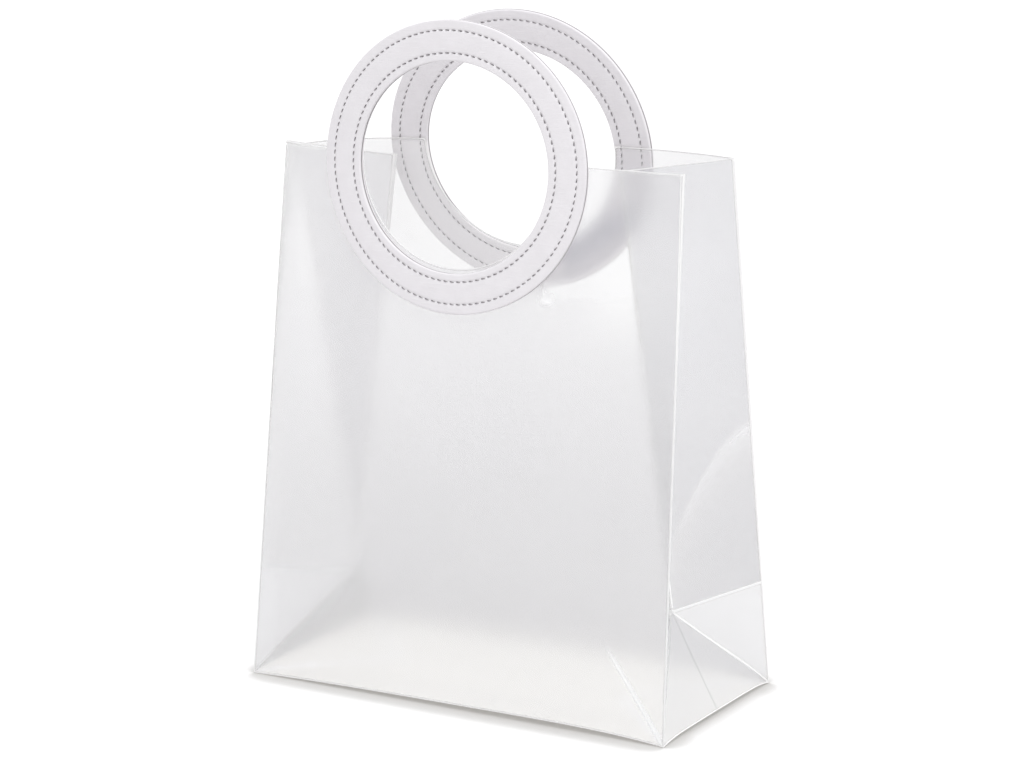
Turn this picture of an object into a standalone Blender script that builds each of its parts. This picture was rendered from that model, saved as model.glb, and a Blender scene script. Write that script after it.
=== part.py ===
"""Frosted film carrier bag with folded side gussets and two round stitched ring handles.

Metres, +Z up. The origin is the middle of the base, the front panel faces -Y and the mouth is at the top.
"""
import math

import bmesh
import bpy
import numpy as np
from mathutils import Vector

# Film sheet
BAG_WIDTH = 0.220
BAG_DEPTH = 0.100
PANEL_HEIGHT = 0.250
FILM = 0.0004
CREASE_WIDTH = 0.0012

# Mouth seen from above: how deep each panel's top edge lies, measured from the middle of the bag.
# The middle is where the ring sits, the lean is how much farther back the right end goes than the middle,
# the bow curves the whole edge, and the pulls bend the loose film left and right of the stiff ring.
FRONT_MOUTH_MIDDLE = -0.031
FRONT_MOUTH_LEAN = 0.0075
FRONT_MOUTH_BOW = 0.008
FRONT_MOUTH_LEFT_PULL = 0.018
FRONT_MOUTH_RIGHT_PULL = -0.006
BACK_MOUTH_MIDDLE = 0.023
BACK_MOUTH_LEAN = 0.0118
BACK_MOUTH_BOW = -0.0063
BACK_MOUTH_LEFT_PULL = -0.0087
BACK_MOUTH_RIGHT_PULL = -0.0047

# Gussets: how far the centre fold leans in at the base, and how far it swings toward the back at the mouth
GUSSET_LEAN_RIGHT = math.radians(27)
GUSSET_LEAN_LEFT = math.radians(32)
GUSSET_SWING_RIGHT = 0.0
GUSSET_SWING_LEFT = math.radians(19)

# Ring handles
RING_OUTER_RADIUS = 0.065
RING_INNER_RADIUS = 0.047
RING_DROP = 0.0042
LEATHER = 0.0014
LEATHER_ROUND = 0.0005
SEAT_GAP = 0.0003

# Film cut-out behind each ring
CUTOUT_MARGIN = 0.0005
CUTOUT_RISE = 0.0024

# Stitching
THREAD = 0.0005
OUTER_ROW_INSET = 0.0045
INNER_ROW_INSET = 0.0035
GROOVE_WIDTH = 0.0010
GROOVE_DEPTH = 0.0007

# Mesh fineness
PANEL_COLUMNS = 22
LOWER_ROWS = 2
UPPER_ROWS = 4
GUSSET_COLUMNS = 3
BASE_ROWS = 4
RING_SIDES = 48
CUTTER_SIDES = 72
THREAD_SIDES = 4

# Colours: red, green, blue, alpha
FILM_COLOUR = (0.86, 0.87, 0.89, 0.45)
LEATHER_COLOUR = (0.80, 0.78, 0.79, 1.0)
THREAD_COLOUR = (0.42, 0.41, 0.43, 1.0)


def clear_scene():
    for old in list(bpy.data.objects):
        bpy.data.objects.remove(old, do_unlink=True)


def new_collection(name):
    collection = bpy.data.collections.new(name)
    bpy.context.scene.collection.children.link(collection)
    return collection


def new_material(name, colour, roughness, transmission=0.0):
    material = bpy.data.materials.new(name)
    material.use_nodes = True
    shader = material.node_tree.nodes["Principled BSDF"]
    shader.inputs["Base Color"].default_value = colour
    shader.inputs["Alpha"].default_value = colour[3]
    shader.inputs["Roughness"].default_value = roughness
    shader.inputs["Transmission Weight"].default_value = transmission
    shader.inputs["Metallic"].default_value = 0.0
    return material


class Panel:
    """One upright panel: straight along the base, bent along the mouth, with straight lines between."""

    def __init__(self, side, middle, lean, bow, left_pull, right_pull):
        self.side = side
        self.base_depth = side * BAG_DEPTH / 2
        samples = np.linspace(-BAG_WIDTH / 2, BAG_WIDTH / 2, 401)
        share = samples / (BAG_WIDTH / 2)
        stiff = min(RING_OUTER_RADIUS / (BAG_WIDTH / 2) * 0.93, 0.9)
        loose = np.clip(np.abs(share) - stiff, 0, None) / (1 - stiff)
        pull = np.where(share < 0, left_pull, right_pull)
        self.samples = samples
        self.depth = middle + lean * share + bow * share ** 2 + pull * loose ** 2
        slope = np.gradient(self.depth, samples)
        # The film doesn't stretch, so the bent edge spans less width than the flat sheet
        run = np.sqrt(np.maximum(1 - slope ** 2, 0.05))
        steps = (run[1:] + run[:-1]) / 2 * np.diff(samples)
        across = np.concatenate([[0.0], np.cumsum(steps)])
        self.across = across - across[-1] / 2

    def surface(self, along, height):
        """Point of the sheet at a distance along its width and a height along its length."""
        x_top = float(np.interp(along, self.samples, self.across))
        y_top = float(np.interp(along, self.samples, self.depth))
        shift = (y_top - self.base_depth) ** 2 + (x_top - along) ** 2
        z_top = math.sqrt(PANEL_HEIGHT ** 2 - shift)
        share = height / PANEL_HEIGHT
        x = along + share * (x_top - along)
        y = self.base_depth + share * (y_top - self.base_depth)
        return Vector((x, y, share * z_top))

    def outward(self, along, height):
        step = 0.001
        across = self.surface(along + step, height) - self.surface(along - step, height)
        up = self.surface(along, height + step) - self.surface(along, height - step)
        return across.cross(up).normalized() * -self.side

    def point(self, along, height, offset=0.0):
        return self.surface(along, height) + self.outward(along, height) * offset


def crease_share(height):
    """Width of a pressed fold line at a height: nothing at the base, full at the mouth."""
    return CREASE_WIDTH * min(max(height / PANEL_HEIGHT, 0.0), 1.0)


class Gusset:
    """One side gusset: a strip folded inward along its middle, with a triangular fold over the base."""

    def __init__(self, hand, front, back, lean, swing):
        self.hand = hand
        self.front = front
        self.back = back
        self.edge = hand * BAG_WIDTH / 2
        half = BAG_DEPTH / 2
        self.apex = Vector((self.edge - hand * half * math.sin(lean), 0.0, half * math.cos(lean)))
        top_front = front.surface(self.edge, PANEL_HEIGHT)
        top_back = back.surface(self.edge, PANEL_HEIGHT)
        middle = (top_front + top_back) / 2
        reach = math.sqrt(half ** 2 - ((top_back - top_front).length / 2) ** 2)
        # The fold's length is fixed, which sets how far its top end drops below the corners
        length = PANEL_HEIGHT - half
        inward = Vector((-hand * math.cos(swing), math.sin(swing), 0.0))
        low, high = 0.0, math.radians(30)
        for _ in range(40):
            turn = (low + high) / 2
            top = middle + inward * reach * math.cos(turn) - Vector((0.0, 0.0, reach * math.sin(turn)))
            if (top - self.apex).length > length:
                low = turn
            else:
                high = turn
        self.top = top

    def edge_point(self, side, height):
        panel = self.front if side < 0 else self.back
        corner = panel.surface(self.edge, height)
        return corner + Vector((0.0, -side * crease_share(height), 0.0))

    def fold_point(self, side, height):
        """Point on the inner border of one half: the diagonal below the apex, the centre fold above."""
        half = BAG_DEPTH / 2
        if height <= half:
            panel = self.front if side < 0 else self.back
            corner = panel.surface(self.edge, 0.0)
            return corner.lerp(self.apex, height / half)
        share = (height - half) / (PANEL_HEIGHT - half)
        width = CREASE_WIDTH * share
        return self.apex.lerp(self.top, share) + Vector((0.0, side * width / 2, 0.0))


def row_heights():
    half = BAG_DEPTH / 2
    lower = [half * row / LOWER_ROWS for row in range(LOWER_ROWS)]
    upper = [half + (PANEL_HEIGHT - half) * row / UPPER_ROWS for row in range(UPPER_ROWS + 1)]
    return lower + upper


def add_grid(mesh, rows):
    """Adds a sheet from rows of points, leaving out faces that shrink to a point or a line."""
    verts = [[mesh.verts.new(point) for point in row] for row in rows]
    for lower, upper in zip(verts, verts[1:]):
        for left in range(len(lower) - 1):
            corners = [lower[left], lower[left + 1], upper[left + 1], upper[left]]
            mesh.faces.new(corners)


def panel_rows(panel):
    columns = [BAG_WIDTH * (column / PANEL_COLUMNS - 0.5) for column in range(PANEL_COLUMNS + 1)]
    return [[panel.surface(along, height) for along in columns] for height in row_heights()]


def gusset_rows(gusset):
    """The strips of one gusset, each as rows of points."""
    strips = []
    heights = row_heights()
    shares = [column / GUSSET_COLUMNS for column in range(GUSSET_COLUMNS + 1)]
    for side in (-1, 1):
        panel = gusset.front if side < 0 else gusset.back
        half = []
        band = []
        for height in heights:
            edge = gusset.edge_point(side, height)
            fold = gusset.fold_point(side, height)
            half.append([edge.lerp(fold, share) for share in shares])
            band.append([panel.surface(gusset.edge, height), edge])
        strips.append(half)
        strips.append(band)
    upper = [height for height in heights if height >= BAG_DEPTH / 2]
    strips.append([[gusset.fold_point(-1, height), gusset.fold_point(1, height)] for height in upper])
    lower = [height for height in heights if height <= BAG_DEPTH / 2]
    triangle = []
    for height in lower:
        front = gusset.fold_point(-1, height)
        back = gusset.fold_point(1, height)
        triangle.append([front.lerp(back, row / BASE_ROWS) for row in range(BASE_ROWS + 1)])
    strips.append(triangle)
    return strips


def base_rows():
    rows = []
    for row in range(BASE_ROWS + 1):
        y = BAG_DEPTH * (row / BASE_ROWS - 0.5)
        line = [BAG_WIDTH * (column / PANEL_COLUMNS - 0.5) for column in range(PANEL_COLUMNS + 1)]
        rows.append([Vector((x, y, 0.0)) for x in line])
    return rows


def add_object(name, mesh, collection, material=None):
    thing = bpy.data.objects.new(name, mesh)
    collection.objects.link(thing)
    if material:
        thing.data.materials.append(material)
    return thing


def ring_height():
    return PANEL_HEIGHT - RING_DROP


def cutout_cutter(name, panel, collection):
    """Round bar across the panel where the film is cut away inside the ring."""
    radius = RING_INNER_RADIUS + CUTOUT_MARGIN
    centre = panel.point(0.0, ring_height() + CUTOUT_RISE)
    direction = panel.outward(0.0, ring_height())
    bpy.ops.mesh.primitive_cylinder_add(vertices=CUTTER_SIDES, radius=radius, depth=0.030)
    cutter = bpy.context.object
    cutter.name = name
    cutter.location = centre
    cutter.rotation_mode = "QUATERNION"
    cutter.rotation_quaternion = direction.to_track_quat("Z", "Y")
    for owner in list(cutter.users_collection):
        owner.objects.unlink(cutter)
    collection.objects.link(cutter)
    cutter.hide_render = True
    cutter.display_type = "WIRE"
    return cutter


def make_bag_body(front, back, gussets, parts, cutters, material):
    sheet = bmesh.new()
    add_grid(sheet, panel_rows(front))
    add_grid(sheet, panel_rows(back))
    add_grid(sheet, base_rows())
    for gusset in gussets:
        for strip in gusset_rows(gusset):
            add_grid(sheet, strip)
    bmesh.ops.remove_doubles(sheet, verts=sheet.verts, dist=0.000005)
    bmesh.ops.dissolve_degenerate(sheet, edges=sheet.edges, dist=0.000005)
    bmesh.ops.recalc_face_normals(sheet, faces=sheet.faces)
    bmesh.ops.triangulate(sheet, faces=[face for face in sheet.faces if len(face.verts) > 3])
    mesh = bpy.data.meshes.new("bag_body")
    sheet.to_mesh(mesh)
    sheet.free()
    body = add_object("bag_body", mesh, parts, material)
    shell = body.modifiers.new("film_thickness", "SOLIDIFY")
    shell.thickness = FILM
    shell.offset = -1.0
    shell.use_even_offset = True
    shell.use_quality_normals = True
    for name, panel in (("front_cutout", front), ("back_cutout", back)):
        cut = body.modifiers.new(name, "BOOLEAN")
        cut.operation = "DIFFERENCE"
        cut.solver = "EXACT"
        cut.object = cutout_cutter(name, panel, cutters)
    return body


def leather_profile(low, high, grooved_high):
    """Closed section of one leather layer as radius and height, with two thread grooves on its show face."""
    outer = RING_OUTER_RADIUS
    inner = RING_INNER_RADIUS
    rows = (outer - OUTER_ROW_INSET, inner + INNER_ROW_INSET)
    face, back, sign = (high, low, -1) if grooved_high else (low, high, 1)
    bevel = LEATHER_ROUND * sign
    points = [(outer, back), (outer, face + bevel), (outer - LEATHER_ROUND, face)]
    for row in rows:
        floor = face + sign * GROOVE_DEPTH
        points.append((row + GROOVE_WIDTH / 2, face))
        points.append((row + GROOVE_WIDTH / 2, floor))
        points.append((row - GROOVE_WIDTH / 2, floor))
        points.append((row - GROOVE_WIDTH / 2, face))
    points += [(inner + LEATHER_ROUND, face), (inner, face + bevel), (inner, back)]
    return points


def turned_mesh(name, profile):
    """Turns a closed section about Z and returns the finished mesh."""
    mesh = bpy.data.meshes.new(name)
    verts = [(radius, 0.0, height) for radius, height in profile]
    edges = [(index, (index + 1) % len(verts)) for index in range(len(verts))]
    mesh.from_pydata(verts, edges, [])
    blank = bpy.data.objects.new(name + "_section", mesh)
    bpy.context.scene.collection.objects.link(blank)
    turn = blank.modifiers.new("turn", "SCREW")
    turn.axis = "Z"
    turn.angle = math.tau
    turn.steps = RING_SIDES
    turn.render_steps = RING_SIDES
    turn.use_merge_vertices = True
    turn.merge_threshold = 0.00001
    bpy.context.view_layer.update()
    shaped = blank.evaluated_get(bpy.context.evaluated_depsgraph_get())
    result = bpy.data.meshes.new_from_object(shaped)
    bpy.data.objects.remove(blank, do_unlink=True)
    return result


def lay_on_panel(mesh, panel):
    """Bends a flat ring, lying in XY with its height along Z, onto the outside of a panel."""
    for vert in mesh.vertices:
        along = -panel.side * vert.co.x
        vert.co = panel.point(along, ring_height() + vert.co.y, vert.co.z)
    shape = bmesh.new()
    shape.from_mesh(mesh)
    bmesh.ops.recalc_face_normals(shape, faces=shape.faces)
    shape.to_mesh(mesh)
    shape.free()
    mesh.shade_smooth()
    mesh.set_sharp_from_angle(angle=math.radians(30))


def thread_mesh(name, radius, height):
    bpy.ops.mesh.primitive_torus_add(
        major_radius=radius, minor_radius=THREAD / 2,
        major_segments=RING_SIDES, minor_segments=THREAD_SIDES)
    thing = bpy.context.object
    mesh = thing.data.copy()
    mesh.name = name
    bpy.data.objects.remove(thing, do_unlink=True)
    for vert in mesh.vertices:
        vert.co.z += height
    return mesh


def make_ring(name, panel, parts, leather, thread):
    """Two leather layers sewn to the outside of one panel, with two rows of thread on each face."""
    inner_low = SEAT_GAP
    inner_high = inner_low + LEATHER
    outer_low = inner_high + SEAT_GAP
    outer_high = outer_low + LEATHER
    layers = (
        ("inner_leather", leather_profile(inner_low, inner_high, False)),
        ("outer_leather", leather_profile(outer_low, outer_high, True)),
    )
    for layer, profile in layers:
        mesh = turned_mesh(name + "_" + layer, profile)
        lay_on_panel(mesh, panel)
        add_object(name + "_" + layer, mesh, parts, leather)
    seat = GROOVE_DEPTH / 2
    rows = (
        ("outer_row", RING_OUTER_RADIUS - OUTER_ROW_INSET),
        ("inner_row", RING_INNER_RADIUS + INNER_ROW_INSET),
    )
    faces = (("inside", inner_low + seat), ("outside", outer_high - seat))
    for row, radius in rows:
        for face, height in faces:
            node = name + "_" + row + "_thread_" + face
            mesh = thread_mesh(node, radius, height)
            lay_on_panel(mesh, panel)
            add_object(node, mesh, parts, thread)


def main():
    clear_scene()
    parts = new_collection("film_carrier_bag")
    cutters = new_collection("cutters")
    film = new_material("frosted_film", FILM_COLOUR, 0.35, 0.6)
    leather = new_material("white_leather", LEATHER_COLOUR, 0.6)
    thread = new_material("grey_thread", THREAD_COLOUR, 0.8)
    front = Panel(-1, FRONT_MOUTH_MIDDLE, FRONT_MOUTH_LEAN, FRONT_MOUTH_BOW,
                  FRONT_MOUTH_LEFT_PULL, FRONT_MOUTH_RIGHT_PULL)
    back = Panel(1, BACK_MOUTH_MIDDLE, BACK_MOUTH_LEAN, BACK_MOUTH_BOW,
                 BACK_MOUTH_LEFT_PULL, BACK_MOUTH_RIGHT_PULL)
    gussets = (Gusset(-1, front, back, GUSSET_LEAN_LEFT, GUSSET_SWING_LEFT),
               Gusset(1, front, back, GUSSET_LEAN_RIGHT, GUSSET_SWING_RIGHT))
    make_bag_body(front, back, gussets, parts, cutters, film)
    make_ring("front_ring", front, parts, leather, thread)
    make_ring("back_ring", back, parts, leather, thread)


main()
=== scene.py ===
"""Looks of the frosted film carrier bag: film with pressed folds, and two stitched leather ring handles."""
import math

import bmesh
import bpy
import numpy as np
from mathutils import Matrix, Vector
from mathutils.geometry import delaunay_2d_cdt

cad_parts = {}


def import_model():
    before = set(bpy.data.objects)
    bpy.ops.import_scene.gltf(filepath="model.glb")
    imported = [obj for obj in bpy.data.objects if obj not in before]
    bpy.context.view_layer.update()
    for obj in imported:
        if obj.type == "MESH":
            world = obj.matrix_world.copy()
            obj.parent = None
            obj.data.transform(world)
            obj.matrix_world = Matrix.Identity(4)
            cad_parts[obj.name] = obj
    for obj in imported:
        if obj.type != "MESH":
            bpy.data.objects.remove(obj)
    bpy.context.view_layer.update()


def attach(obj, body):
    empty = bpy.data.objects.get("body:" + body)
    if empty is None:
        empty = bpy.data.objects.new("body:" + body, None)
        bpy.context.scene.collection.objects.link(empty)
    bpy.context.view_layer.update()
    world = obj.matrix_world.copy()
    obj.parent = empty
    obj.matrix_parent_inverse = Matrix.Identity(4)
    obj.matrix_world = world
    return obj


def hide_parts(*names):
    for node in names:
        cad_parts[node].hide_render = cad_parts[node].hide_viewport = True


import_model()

# Film sheet, in metres, as the solids have it
BAG_WIDTH = 0.220
BAG_DEPTH = 0.100
HALF_WIDTH = BAG_WIDTH / 2
HALF_DEPTH = BAG_DEPTH / 2
PANEL_HEIGHT = 0.250
FILM = 0.0004
CREASE_WIDTH = 0.0012
FRONT_MOUTH = dict(middle=-0.031, lean=0.0075, bow=0.008, left_pull=0.018, right_pull=-0.006)
BACK_MOUTH = dict(middle=0.023, lean=0.0118, bow=-0.0063, left_pull=-0.0087, right_pull=-0.0047)
GUSSET_LEAN_RIGHT = math.radians(27)
GUSSET_LEAN_LEFT = math.radians(32)
GUSSET_SWING_RIGHT = 0.0
GUSSET_SWING_LEFT = math.radians(19)

# Ring handles, as the solids have them
RING_OUTER_RADIUS = 0.065
RING_INNER_RADIUS = 0.047
RING_DROP = 0.0042
LEATHER = 0.0014
SEAT_GAP = 0.0003
CUTOUT_RADIUS = RING_INNER_RADIUS + 0.0005
CUTOUT_RISE = 0.0024
OUTER_ROW_RADIUS = RING_OUTER_RADIUS - 0.0045
INNER_ROW_RADIUS = RING_INNER_RADIUS + 0.0035
RING_HEIGHT = PANEL_HEIGHT - RING_DROP

# Fine shape of the film
STIFF_SHARE = 0.93
FOLD_STEP = 0.0007
FOLD_REACH = 0.0010
FOLD_SEEN = (0.12, 0.50)
LINE_REACH = (0.0001, 0.0019)
# Whiteness of the film along its cut edges is a painted highlight for the bright light those edges catch
CUT_EDGE = 0.6
BASE_EDGE = 0.7
BACK_LEVEL_FOLD = 0.2
LEFT_LEVEL_FOLD = 0.25
FRONT_LIFT = 0.0027
SIDE_LIFT = 0.0020
BACK_LIFT = 0.0012
LEFT_LIFT_SHARE = 0.6
LIFT_HEIGHT = 0.060
LIFT_WIDTH_SPREAD = 3.0
LIFT_DEPTH_SPREAD = 1.4
FRONT_LIFT_MIDDLE = 0.78
FRONT_LIFT_TILT = 0.35
CHAMFER_WIDTH = 0.0011
CHAMFER_FOOT = 0.150
CHAMFER_TURN = 0.7

# Distances between the points of the film's patches, and the places where they lie closer together
COLUMN_STEP = 0.005
ROW_STEP = 0.0025
DEPTH_STEP = 0.004
SHARE_STEP = 0.003
FINE_STEP = 0.001
FINE_ROWS = (0.074, 0.134)
CUTOUT_POINTS = 121
CUTOUT_RINGS = (0.0006, 0.0012)
CUTOUT_CLEAR = 0.0020
CHAMFER_LEAST = 0.0004
CHAMFER_STEP = 0.0003
PUCKER_STEP = 0.0004
PUCKER_AREA = (-0.0045, 0.0065, -0.004, 0.0055)
PUCKER_CLEAR = 0.0065
WEDGE_STEP = 0.0015
WEDGE_AREA = (0.0437, 0.0900, 0.1871, 0.2240)

# Painted highlight along a soft bend line across the right gusset's back half: height at the edge, fall to
# the centre fold and whiteness
BEND_TOP = 0.1268
BEND_FALL = 0.053
BEND_CURVE = 1.6
BEND_HIGHLIGHT = 0.60
BEND_HIGHLIGHT_FADE = 0.55
BEND_BORDER = (-0.0035, 0.0020)
BEND_DECAY = 60.0

# Painted light: a whiter strip beside the front panel's left fold: place at the base, slant, whiteness,
# border, top and fade
LEFT_STRIP = -0.0937
LEFT_STRIP_SLANT = 0.107
LEFT_STRIP_WHITE = 0.14
LEFT_STRIP_BORDER = 0.003
LEFT_STRIP_TOP = 0.19
LEFT_STRIP_FADE = 0.10

# Puckers under the front ring: middle, reach and height of each swelling
PUCKER = (0.0460, 0.1910)
PUCKERS = (
    ((0.0444, 0.1938), (0.0008, 0.0020), 0.0005),
    ((0.0460, 0.1893), (0.0024, 0.0013), 0.0005),
    ((0.0480, 0.1912), (0.0026, 0.0024), -0.0003),
)

# Soft spots of whiter film on the front panel, painted glints at the puckers: middle, reach and strength,
# below zero for darker film, painted shade
PAINTED_LIGHT_SPOTS = (
    ((-0.090, 0.17), (0.005, 0.07), -0.10),
    (PUCKER, (0.0050, 0.0035), 0.35),
    ((0.0440, 0.1938), (0.0010, 0.0035), 0.50),
    ((0.0455, 0.1900), (0.0026, 0.0014), 0.45),
)

# Painted shade: dark curved band beside the front ring: its circle, width, and where it starts and ends
DARK_BAND = (0.034, 0.262)
DARK_BAND_RADIUS = 0.056
DARK_BAND_WIDTH = 0.0075
DARK_BAND_LEFT = 0.050
DARK_BAND_TOP = 0.241

# Painted highlight: bright wedge of film below the dark band: its floor line, sides, top and soft border
WEDGE_FLOOR = 0.189
WEDGE_SLOPE = 0.08
WEDGE_SLOPE_START = 0.050
WEDGE_LEFT = 0.044
WEDGE_RIGHT = 0.0885
WEDGE_TOP = 0.225
WEDGE_BORDER = 0.006
WEDGE_RIGHT_BORDER = 0.003
WEDGE_BAND_GAP = 0.007
WEDGE_WHITE = 0.25
WEDGE_BRIGHTENING = 1.4

# Painted light: clearer, brighter spots on the two panels: middle, reach and strength; then the painted sheen
# over the back ring's left part
FRONT_PAINTED_LIGHT = ((0.080, 0.189), (0.022, 0.022), 1.0)
LEFT_PAINTED_LIGHT = ((-0.078, 0.205), (0.018, 0.030), 0.5)
BACK_PAINTED_LIGHT = ((0.050, 0.187), (0.020, 0.018), 1.0)
BACK_RING_REACH = 0.022
BACK_RING_BORDER = 0.020
BACK_RING_SIDE = 0.030
BACK_RING_SHEEN = 0.10
BACK_RING_BRIGHTENING = 0.6

# Slanting crease in the front panel's lower right corner: both ends, and how it fades along its run
CREASE_START = (0.1095, 0.0005)
CREASE_END = (0.0785, 0.0415)
CREASE_FADE = 0.6
CREASE_TIP = 0.15

# Whiter or darker film on the gussets, painted light and shade: corners below the level fold, strips above
# it, brightened front halves, the darker right back half and the bottom triangle
BACK_CORNER_LIGHT = 0.50
FRONT_CORNER_LIGHT = {-1: 0.40, 1: 0.45}
FRONT_HALF_BRIGHTENING = {-1: 0.3, 1: 1.0}
LEFT_FRONT_LIGHT = 0.15
LEFT_FRONT_LIGHT_FROM = 0.09
LEFT_FRONT_LIGHT_OVER = 0.12
STRIP_LIGHT = 0.05
STRIP_HEIGHT = 0.0015
STRIP_WIDENING = 0.024
RIGHT_BACK_DARK = 0.22
RIGHT_BACK_DARK_RISE = 0.10
RIGHT_BACK_DARK_FROM = 0.135
RIGHT_BACK_DARK_OVER = 0.03
QUIET_DIAGONAL_RISE = 0.040
QUIET_DIAGONAL_FADE = 0.038
TRIANGLE_SHADE = -0.34
TRIANGLE_SHADE_RISE = 0.16
TRIANGLE_SHADE_LINE = -0.7

# Fine shape of the leather and its stitches
EDGE_ROUND = 0.0006
STITCH_PITCH = 0.0032
STITCH_LENGTH = 0.0022
STITCH_RADIUS = 0.00025
STITCH_SLANT = math.radians(9)
CHANNEL_WIDTH = 0.0014
CHANNEL_DEPTH = 0.00028
CHANNEL_SHARES = (-0.6, -0.42, -0.25, -0.1, 0.1, 0.25, 0.42, 0.6)
SECTION_STEP = 0.0006
COLUMNS_PER_STITCH = 6
CROWN_RISE = 0.00012
CROWN_REACH = 0.0052
STITCH_SIDES = 8
STITCH_RINGS = 9
STITCH_SINK = 0.00006
STITCH_DIVE = 0.00046


def ease(value):
    """Smooth step from 0 to 1."""
    value = np.clip(value, 0.0, 1.0)
    return value * value * (3.0 - 2.0 * value)


class Panel:
    """One upright panel: straight along the base, bent along the mouth, with straight lines between."""

    def __init__(self, side, middle, lean, bow, left_pull, right_pull, chamfer=0.0):
        self.side = side
        self.chamfer = chamfer
        self.base_depth = side * HALF_DEPTH
        samples = np.linspace(-HALF_WIDTH, HALF_WIDTH, 401)
        share = samples / HALF_WIDTH
        stiff = RING_OUTER_RADIUS / HALF_WIDTH * STIFF_SHARE
        loose = np.clip(np.abs(share) - stiff, 0, None) / (1 - stiff)
        pull = np.where(share < 0, left_pull, right_pull)
        self.samples = samples
        self.depth = middle + lean * share + bow * share ** 2 + pull * loose ** 2
        slope = np.gradient(self.depth, samples)
        run = np.sqrt(np.maximum(1 - slope ** 2, 0.05))
        steps = (run[1:] + run[:-1]) / 2 * np.diff(samples)
        across = np.concatenate([[0.0], np.cumsum(steps)])
        self.across = across - across[-1] / 2

    def chamfer_line(self, height):
        """Where the pressed corner strip starts at a height."""
        share = np.clip((height - CHAMFER_FOOT) / (PANEL_HEIGHT - CHAMFER_FOOT), 0, 1)
        return HALF_WIDTH - self.chamfer * share

    def surface(self, along, height):
        along = np.asarray(along, float)
        height = np.asarray(height, float)
        x_top = np.interp(along, self.samples, self.across)
        y_top = np.interp(along, self.samples, self.depth)
        shift = (y_top - self.base_depth) ** 2 + (x_top - along) ** 2
        z_top = np.sqrt(PANEL_HEIGHT ** 2 - shift)
        share = height / PANEL_HEIGHT
        x = along + share * (x_top - along)
        y = self.base_depth + share * (y_top - self.base_depth)
        turned = np.maximum(along - self.chamfer_line(height), 0.0)
        y = y - self.side * turned * CHAMFER_TURN
        return np.stack(np.broadcast_arrays(x, y, share * z_top), axis=-1)

    def outward(self, along, height):
        step = 0.001
        across = self.surface(along + step, height) - self.surface(along - step, height)
        up = self.surface(along, height + step) - self.surface(along, height - step)
        normal = np.cross(across, up) * -self.side
        return normal / np.linalg.norm(normal, axis=-1, keepdims=True)

    def point(self, along, height, offset=0.0):
        offset = np.asarray(offset, float)[..., None]
        return self.surface(along, height) + self.outward(along, height) * offset


class Gusset:
    """One side gusset: a strip folded inward along its middle, with a triangular fold over the base."""

    def __init__(self, hand, front, back, lean, swing):
        self.hand = hand
        self.panels = {-1: front, 1: back}
        self.edge = hand * HALF_WIDTH
        half = HALF_DEPTH
        self.apex = np.array([self.edge - hand * half * math.sin(lean), 0.0, half * math.cos(lean)])
        top_front = front.surface(self.edge, PANEL_HEIGHT)
        top_back = back.surface(self.edge, PANEL_HEIGHT)
        middle = (top_front + top_back) / 2
        reach = math.sqrt(half ** 2 - (np.linalg.norm(top_back - top_front) / 2) ** 2)
        length = PANEL_HEIGHT - half
        inward = np.array([-hand * math.cos(swing), math.sin(swing), 0.0])
        low = 0.0
        high = math.radians(30)
        for _ in range(40):
            turn = (low + high) / 2
            top = middle + inward * reach * math.cos(turn) - np.array([0.0, 0.0, reach * math.sin(turn)])
            if np.linalg.norm(top - self.apex) > length:
                low = turn
            else:
                high = turn
        self.top = top

    def edge_point(self, side, height):
        """Start of one half at a height, just past the pressed strip beside the panel."""
        band = CREASE_WIDTH * np.clip(height / PANEL_HEIGHT, 0, 1)
        corner = self.panels[side].surface(np.full_like(height, self.edge), height)
        corner[..., 1] -= side * band
        return corner

    def fold_point(self, side, height):
        """Inner border of one half: the diagonal below the apex, the centre fold above."""
        half = HALF_DEPTH
        corner = self.panels[side].surface(self.edge, 0.0)
        low_share = np.clip(height / half, 0, 1)[..., None]
        high_share = np.clip((height - half) / (PANEL_HEIGHT - half), 0, 1)[..., None]
        low = corner + (self.apex - corner) * low_share
        high = self.apex + (self.top - self.apex) * high_share
        point = np.where(height[..., None] <= half, low, high)
        point[..., 1] += side * CREASE_WIDTH / 2 * high_share[..., 0]
        return point


def fine_steps(low, high, step, folds):
    """Even steps between two ends, with a few closer ones on both sides of each fold."""
    count = max(2, round((high - low) / step))
    values = list(np.linspace(low, high, count + 1))
    for fold in folds:
        values = [v for v in values if abs(v - fold) > 2.4 * FOLD_STEP]
        for shift in (-2, -1, 0, 1, 2):
            value = fold + shift * FOLD_STEP
            if low - 1e-9 <= value <= high + 1e-9:
                values.append(value)
    return np.array(sorted(values))


COLUMNS = fine_steps(-HALF_WIDTH, HALF_WIDTH, COLUMN_STEP, (-HALF_WIDTH, HALF_WIDTH))
ROWS = fine_steps(0.0, PANEL_HEIGHT, ROW_STEP, (0.0, HALF_DEPTH, PANEL_HEIGHT))
ROWS = np.unique(np.round(np.concatenate([ROWS, np.arange(*FINE_ROWS, FINE_STEP)]), 6))
DEPTHS = fine_steps(-HALF_DEPTH, HALF_DEPTH, DEPTH_STEP, (-HALF_DEPTH, 0.0, HALF_DEPTH))
SHARES = fine_steps(0.0, HALF_DEPTH, SHARE_STEP, (0.0, HALF_DEPTH)) / HALF_DEPTH
FINE_SHARES = fine_steps(0.0, HALF_DEPTH, FINE_STEP, (0.0, HALF_DEPTH)) / HALF_DEPTH


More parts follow.
